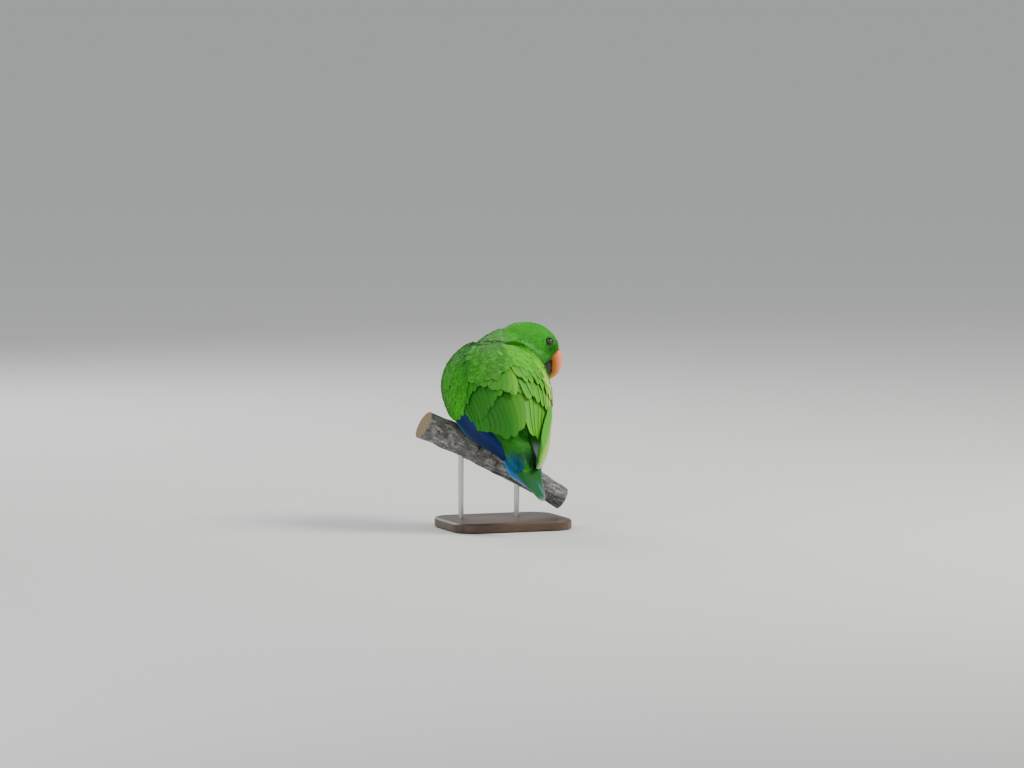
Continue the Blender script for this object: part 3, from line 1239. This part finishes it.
def tail_coverts(spacing, seed):
    """Small feathers on a half-round over the mound, height (1 - (side / half)^2)^0.5 of its own,
    laid back along the tail."""
    draw = np.random.default_rng(seed)
    ahead = draw.uniform(*COVERT_AHEAD, COVERT_DRAWS)
    turned = np.radians(draw.uniform(*COVERT_AROUND, COVERT_DRAWS))

    def over(a, angle, height):
        """Point at a along the mound and angle round it, height above it."""
        side = (smooth_curve(COVERT_SIDES, a) + height) * np.sin(angle)
        top = np.where(np.cos(angle) > 0, smooth_curve(COVERT_CROWN, a), smooth_curve(COVERT_FLOOR, a))
        return in_tail(a, side, (top + height) * np.cos(angle))

    keep = thin_out(over(ahead, turned, 0.0), spacing)
    ahead, turned = ahead[keep], turned[keep]
    count = len(ahead)
    t = from_root(6, crowding=1.35)
    reach = draw.uniform(*COVERT_LENGTH, count)[:, None] * t
    spine = over(ahead[:, None] + reach, turned[:, None] * mix(1, 0.94, t), mix(-0.5, 0.8, ease(t)))
    up = unit(spine - in_tail(ahead[:, None] + reach, 0 * reach, -10 + 0 * reach))
    colour = mix(WING_GREEN, TAIL_GREEN, ease((ahead - 5) / 30)[:, None])
    colour = mix(colour, TAIL_TEAL * 0.55, ease((ahead - 22) / 14)[:, None])
    far_left = ease((np.degrees(turned) - 20) / 50)
    to_left = ease((np.degrees(turned) + 30) / 70) * ease((ahead - 22 + 12 * far_left) / 20)
    colour = mix(colour, TAIL_BLUE * np.array([0.8, 1.15, 0.75]), (to_left * 0.75)[:, None])
    colour = colour * (1 + 0.2 * mottle(spine[:, 0], size=8, seed=45))[:, None]
    colour = colour * draw.normal(1, TONE_SPREAD, count)[:, None]
    half = web_width(t[None], np.full((count, 1), COVERT_HALF_WIDTH), roundness=0.45)
    vane_piece("tail_coverts", contour_finish, spine, up, half, shaded(colour, t, 0.72, 1.05),
               camber=0.014, thick=0.26)


tail_coverts(spacing=3.3, seed=71)
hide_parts("tail")

# Bill: a heavy, hooked upper half of glossy orange horn, yellow at its tip, over a black lower half
# that sits inside it. Each is a loft of oval sections from its ridge to its cutting edge.
BILL_ROWS = 90
BILL_TURN = 72
# (ridge ahead and up, cutting edge ahead and up, half-width)
UPPER_BILL = [
    (-1.5, 1, -2, -20, 8.6), (2.6, -1.2, 0.6, -17.5, 9), (8, -4.4, 2.4, -18.6, 8.7),
    (13.4, -9.9, 5, -20.8, 7.9), (17, -15.6, 7.2, -23.6, 6.6), (18.7, -21.6, 11.0, -26.4, 5.1),
    (18.8, -27.2, 12, -30.4, 3.5), (17.6, -32.6, 13.3, -34, 2), (15.4, -37, 14.2, -37.2, 0.7),
]
LOWER_BILL = [
    (-6, -14, -10, -36, 7.4), (4.0, -15.6, -5, -38.2, 7.4), (8.8, -22.0, 1.5, -38.6, 6.0),
    (12.4, -27.4, 6.6, -37.6, 4.2), (13.4, -31.4, 9.8, -35.6, 2),
]
BILL_ORANGE = np.array([1.0, 0.23, 0.07])
BILL_PINK = np.array([1.0, 0.34, 0.19])
BILL_ROOT_RED = np.array([0.80, 0.10, 0.04])
BILL_TIP_YELLOW = np.array([1.0, 0.42, 0.07])
BILL_BLACK = np.array([0.012, 0.011, 0.011])


def bill_grid(table, blunt, steps, around):
    """Section at each step: ridge and edge are its top and bottom, joined by (1 - cos) / 2, and its
    half-width is half * |sin|^blunt."""
    number = np.arange(len(table))
    rows = np.array(table, float)
    step = np.linspace(0, len(table) - 1, steps)
    ridge_a, ridge_u, edge_a, edge_u, half = [
        smooth_curve(np.stack([number, rows[:, i]], 1), step)[:, None] for i in range(5)]
    angle = np.linspace(0, 2 * np.pi, around, endpoint=False)[None]
    share = (1 - np.cos(angle)) / 2
    width = half * np.sign(np.sin(angle)) * np.abs(np.sin(angle)) ** blunt
    return in_head(mix(ridge_a, edge_a, share), width, mix(ridge_u, edge_u, share)), step, share


def ring_tint(mesh, tint):
    """Stores a colour for each vertex of closed rings, the end rings' own at the two fans' middles."""
    set_tint(mesh, np.concatenate([tint.reshape(-1, 3), tint[0, :1], tint[-1, :1]]))


def horn_piece(name, table, blunt, tint_of, node, finish):
    """A bill half with a tint for each vertex from its step along the bill and share of its depth."""
    points, step, share = bill_grid(table, blunt, BILL_ROWS, BILL_TURN)
    horn = new_object(name, *closed_rings(points))
    along = step[:, None] / (len(table) - 1)
    ring_tint(horn.data, tint_of(along + 0 * share, share + 0 * along))
    horn.data.materials.append(finish)
    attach(horn, BODY)
    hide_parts(node)


def upper_tint(along, depth):
    """Red at the root, orange, then yellow at the tip, pinker on the ridge, black at the edge."""
    tint = mix(BILL_ROOT_RED, BILL_ORANGE, ease(along / 0.16)[..., None])
    tint = mix(tint, BILL_TIP_YELLOW, ease((along - 0.5) / 0.4)[..., None])
    sheen = (1 - ease((depth - 0.12) / 0.4)) * ease(along / 0.1) * (1 - ease((along - 0.45) / 0.3))
    tint = mix(tint, BILL_PINK, (sheen * 0.75)[..., None])
    edge = ease((depth - 0.95) / 0.05) * ease((0.72 - along) / 0.2)
    return mix(tint, BILL_BLACK, (edge * 0.7)[..., None])


def lower_tint(along, depth):
    """Black all over."""
    return BILL_BLACK + 0 * (along + depth)[..., None]


def horn_finish(name, contrast):
    """Tint with fine growth lines: noise in Object coordinates under a clear, even gloss."""
    finish = Finish(name, Roughness=0.3, Coat_Weight=0.25, Coat_Roughness=0.12)
    tint = finish.tint()
    lines = finish.noise(finish.place(), scale=420.0, detail=5.0, Roughness=0.6)
    finish.feed("Base Color", finish.blend(tint, finish.times(tint, 0.62, 0.5, 0.42), lines * contrast))
    finish.feed("Roughness", lines * 0.25 + 0.2)
    finish.bump(lines, strength=0.2, distance=0.0003)
    return finish.material


orange_horn = horn_finish("orange_horn", contrast=0.25)
black_horn = horn_finish("black_horn", contrast=0.3)
horn_piece("upper_bill", UPPER_BILL, 0.85, upper_tint, "bill_upper", orange_horn)
horn_piece("lower_bill", LOWER_BILL, 0.9, lower_tint, "bill_lower", black_horn)

# Eyes: glass eyes as in a museum mount, a dark pupil in an orange brown iris under a clear bulge,
# each held between two bare grey lids that leave an almond opening.
EYE_RADIUS = 4.5
EYE_SET_BACK = 1.0
PUPIL_RADIUS = 2.1
IRIS_RADIUS = 3.3
LID_STAND = 0.25
LID_THICKNESS = 0.42
LID_REACH = 1.45
IRIS_BROWN = np.array([0.09, 0.028, 0.008])
IRIS_RIM = np.array([0.05, 0.018, 0.008])
PUPIL_BLACK = np.array([0.003, 0.003, 0.003])
LID_GREY = np.array([0.018, 0.024, 0.014])
eye_finish = Finish("glass_eye", Roughness=0.06, Coat_Weight=1.0, Coat_Roughness=0.02)
eye_finish.feed("Base Color", eye_finish.tint())
lid_finish = Finish("lid_skin", Roughness=0.55)
lid_grain = lid_finish.noise(lid_finish.place(), scale=2600.0, detail=2.0)
lid_colour = lid_finish.blend(lid_finish.tint(), (0.02, 0.022, 0.015, 1), lid_grain * 0.6)
lid_finish.feed("Base Color", lid_colour)
lid_finish.bump(lid_grain, strength=0.4, distance=0.0003)
for side, label in ((-1, "left"), (1, "right")):
    out = unit(head_right * side + head_up * 0.42)
    ahead_way = unit(head_forward - out * (head_forward @ out))
    above = np.cross(out, ahead_way) * side
    above = above * np.sign(above @ head_up)
    middle = in_head(EYE_PLACE[0], side * EYE_PLACE[1], EYE_PLACE[2]) - EYE_SET_BACK * out

    def on_ball(radius, off_axis, angle):
        """radius from the eye's middle, off_axis radians from its axis, turned by angle round it."""
        rim = np.cos(angle)[..., None] * ahead_way + np.sin(angle)[..., None] * above
        way = np.cos(off_axis)[..., None] * out + np.sin(off_axis)[..., None] * rim
        return middle + radius[..., None] * way

    off = np.linspace(0.02, np.pi - 0.02, 60)[:, None]
    spin = np.linspace(0, 2 * np.pi, 64, endpoint=False)[None]
    bulge = EYE_RADIUS + 0.3 * np.exp(-(off / 0.5) ** 2) + 0 * spin
    globe = closed_rings(on_ball(bulge, off + 0 * spin, spin + 0 * off))
    ball = new_object(f"eye_ball_{label}", *globe)
    wide = EYE_RADIUS * np.sin(np.minimum(off, np.pi / 2)) + 0 * spin
    fibre = 1 + 0.25 * np.sin(spin * 23 + 2 * np.sin(spin * 5))
    tint = mix(PUPIL_BLACK, IRIS_BROWN * fibre[..., None], ease((wide - PUPIL_RADIUS) / 0.25)[..., None])
    tint = mix(tint, IRIS_RIM, ease((wide - IRIS_RADIUS) / 0.4)[..., None])
    ring_tint(ball.data, tint)
    ball.data.materials.append(eye_finish.material)
    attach(ball, BODY)
    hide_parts(f"eye_{label}")

    spin = np.linspace(0, 2 * np.pi, 72, endpoint=False)[:, None]
    loop = np.linspace(0, 2 * np.pi, 16, endpoint=False)[None]
    opening = 0.66 + 0.1 * np.cos(2 * spin)
    off = opening + (LID_REACH - opening) * (1 - np.cos(loop)) / 2
    roll = 0.26 * np.exp(-((off - opening) / 0.12) ** 2)
    crease = 0.1 * np.sin((off - opening) * 26) * ease((off - opening) / 0.15)
    swell = np.maximum(np.sin(loop), -0.6) * LID_THICKNESS
    points = on_ball(EYE_RADIUS + LID_STAND + swell + roll + crease, off, spin + 0 * loop)
    count, ring = points.shape[:2]
    i, j = np.meshgrid(np.arange(count), np.arange(ring), indexing="ij")
    onward = (i + 1) % count * ring
    quads = np.stack([i * ring + j, onward + j, onward + (j + 1) % ring, i * ring + (j + 1) % ring], -1)
    lid = new_object(f"lids_{label}", points.reshape(-1, 3), quads.reshape(-1, 4).tolist())
    pale = mix(LID_GREY * 0.6, LID_GREY, ease((off - opening) / 0.3)[..., None])
    set_tint(lid.data, pale.reshape(-1, 3))
    lid.data.materials.append(lid_finish.material)
    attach(lid, BODY)

# Feet: two toes forward and two back on each foot, rolled round the perch, in grey scaly skin with a
# short bare ankle. Each toe carries a dark, curved, glossy claw.
ANKLE_RADIUS = 4.6
ANKLE_SHARE = 0.34
CLAW_ARCH = 2.4
# (where along the perch a toe begins and ends, degrees round it, radius)
TOES = [(4, 8, -92, 3.2), (-4, -8, -76, 2.88), (4, 8, 78, 3.2), (-4, -9, 64, 2.72)]
FOOT_GREY = np.array([0.075, 0.07, 0.068])
foot_finish = Finish("scaly_skin", Roughness=0.6)
scales = foot_finish.node(
    "TexVoronoi", {"feature": "DISTANCE_TO_EDGE"}, {"Vector": foot_finish.place(), "Scale": 900.0})
foot_colour = foot_finish.blend(foot_finish.tint(), (0.025, 0.023, 0.022, 1), scales.below(0.12) * 0.7)
foot_finish.feed("Base Color", foot_colour)
foot_finish.bump(scales, strength=0.6, distance=0.0008)
claw_finish = Finish("claw_horn", Roughness=0.25, Coat_Weight=0.4)
claw_grain = claw_finish.noise(claw_finish.place(), scale=700.0, detail=3.0)
claw_colour = claw_finish.blend((0.012, 0.011, 0.01, 1), (0.06, 0.05, 0.045, 1), claw_grain * 0.5)
claw_finish.feed("Base Color", claw_colour)
for label, place in FOOT_PLACES.items():
    foot_parts = []
    for number, (begin, end, reach, radius) in enumerate(TOES):
        t = np.linspace(0, 1, 44)
        turned = mix(ANKLE_AROUND * 0.8, reach, t)
        line = on_perch(place + mix(begin, end, t), turned, radius + TOUCH_GAP)
        joints = 1 + 0.07 * np.cos(t * 3 * 2 * np.pi) - 0.03 * np.abs(np.sin(t * 15 * np.pi))
        foot_parts.append(closed_rings(tube(line, radius * mix(1.05, 0.8, t) * joints, around=22)))
        t = np.linspace(0, 1, 30)
        turned = reach + np.sign(reach) * mix(2.2, 38, t)
        lift = radius + TOUCH_GAP + CLAW_ARCH * np.sin(np.pi * t) - 0.6 * t
        line = on_perch(place + end + np.sign(end) * 0.8 * t, turned, lift)
        horn = closed_rings(tube(line, mix(radius * 0.62, 0.35, t**0.8), around=18))
        claw = new_object(f"claw_{label}_{number + 1}_horn", *horn)
        claw.data.materials.append(claw_finish.material)
        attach(claw, BODY)
        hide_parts(f"claw_{label}_{number + 1}")
    t = np.linspace(0, ANKLE_SHARE, 16)
    ankle_radius = ANKLE_RADIUS + 1.2 * (1 - t / ANKLE_SHARE)
    foot_parts.append(closed_rings(tube(shin_line(place, t), ankle_radius, around=26)))
    vertices, faces = merged(foot_parts)
    foot = new_object(f"foot_{label}_skin", vertices, faces)
    set_tint(foot.data, FOOT_GREY * (1 + 0.25 * mottle(vertices, size=3, seed=51))[:, None])
    foot.data.materials.append(foot_finish.material)
    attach(foot, BODY)
    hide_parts(f"foot_{label}")

# Perch: a cut length of real branch, grey bark with pale blotches and long furrows, sawn square at
# both ends so that the rings show.
PERCH_ENDS = (-98, 102)
FURROW_DEPTH = 0.55
BARK_GREY = np.array([0.19, 0.182, 0.178])
BARK_PALE = np.array([0.66, 0.645, 0.63])
BARK_DARK = np.array([0.03, 0.027, 0.025])
CUT_WOOD = np.array([0.42, 0.30, 0.18])
length = np.linspace(*PERCH_ENDS, 300)[:, None]
turned = np.linspace(0, 360, 120, endpoint=False)[None]
bare = on_perch(length + 0 * turned, turned + 0 * length, 0.0)


def drawn_out(share):
    """Places on the bare branch, measured from its middle, with their part along it less share of it."""
    offset = bare - PERCH_CENTRE
    return offset - share * (offset @ perch_heading)[..., None] * perch_heading


def bark_mottle(places, size, seed):
    """Mottle at a grid of places."""
    return mottle(places.reshape(-1, 3), size, seed).reshape(bare.shape[:2])


furrow = np.abs(bark_mottle(drawn_out(0.86), size=5, seed=81))
lumps = bark_mottle(bare, size=22, seed=82)
depth = -0.1 - FURROW_DEPTH * np.clip(1 - furrow * 2.2, 0, 1) ** 2 - 0.25 * (1 + lumps)
sides = on_perch(length + 0 * turned, turned + 0 * length, depth)
wander = 2 * bark_mottle(bare, size=4, seed=84)
speckle = bark_mottle(drawn_out(0.6) + wander[..., None], size=6, seed=83)
blotch = ease((speckle + 0.45 * lumps + 0.3) * 0.9)
bark_tint = mix(BARK_GREY, BARK_PALE, (blotch * 0.5)[..., None])
bark_tint = mix(bark_tint, BARK_DARK, (np.clip(1 - furrow * 2.4, 0, 1) ** 2 * 0.8)[..., None])
inwards = np.linspace(0.04, 0.97, 40)
rings = 0.78 + 0.22 * np.sin(inwards * 70 + 3 * np.sin(inwards * 9))
caps = [mix(edge.mean(0), edge[None], inwards[:, None, None]) for edge in (sides[0], sides[-1])]
cap_tint = (CUT_WOOD * rings[:, None])[:, None] + 0 * caps[0]
perch = new_object("perch_bark", *closed_rings(np.concatenate([caps[0], sides, caps[1][::-1]])))
ring_tint(perch.data, np.concatenate([cap_tint, bark_tint, cap_tint[::-1]]))
perch.data.set_sharp_from_angle(angle=1.0)
bark_finish = Finish("grey_bark", Roughness=0.88, Specular_IOR_Level=0.25)
bark_map = bark_finish.tint()
bark_place = bark_finish.place()
grit = bark_finish.noise(bark_place, scale=700.0, detail=6.0, Roughness=0.7)
flakes = bark_finish.noise(bark_place, scale=160.0, detail=4.0)
bark_shade = bark_finish.times(bark_map, 0.45, 0.43, 0.42)
bark_finish.feed("Base Color", bark_finish.blend(bark_shade, bark_map, grit * 1.1 + flakes * 0.4))
bark_finish.bump(grit * 0.6 + flakes, strength=0.6, distance=0.0012)
perch.data.materials.append(bark_finish.material)
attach(perch, BODY)
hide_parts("perch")

# Stand: a waxed dark wood base and two brushed steel rods that run up into the perch. Their shapes
# are the solids', with better finishes.
DARK_WOOD = [(0.3, (0.035, 0.018, 0.01)), (0.7, (0.12, 0.066, 0.036))]
WOOD_GRAIN = (14.0, 190.0, 60.0)
STEEL = (0.56, 0.56, 0.55, 1)
STEEL_GRAIN = (300.0, 300.0, 2600.0)
base_finish = Finish("waxed_wood", Roughness=0.42, Coat_Weight=0.15, Coat_Roughness=0.3)
base_place = base_finish.node("Mapping", {}, {"Vector": base_finish.place(), "Scale": WOOD_GRAIN})
grain = base_finish.noise(base_place, scale=1.0, detail=6.0, Distortion=0.6)
base_finish.feed("Base Color", base_finish.node("ValToRGB", {"stops": DARK_WOOD}, {"Fac": grain}))
base_finish.bump(grain, strength=0.15, distance=0.0004)
rod_finish = Finish("brushed_steel", Metallic=1.0, Roughness=0.32, Base_Color=STEEL)
rod_place = rod_finish.node("Mapping", {}, {"Vector": rod_finish.place(), "Scale": STEEL_GRAIN})
rod_finish.feed("Roughness", rod_finish.noise(rod_place, scale=1.0, detail=2.0) * 0.25 + 0.2)
FINISHES = {"stand_base": base_finish, "stand_rod_left": rod_finish, "stand_rod_right": rod_finish}
for node, finish in FINISHES.items():
    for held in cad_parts[node].material_slots:
        held.material = finish.material
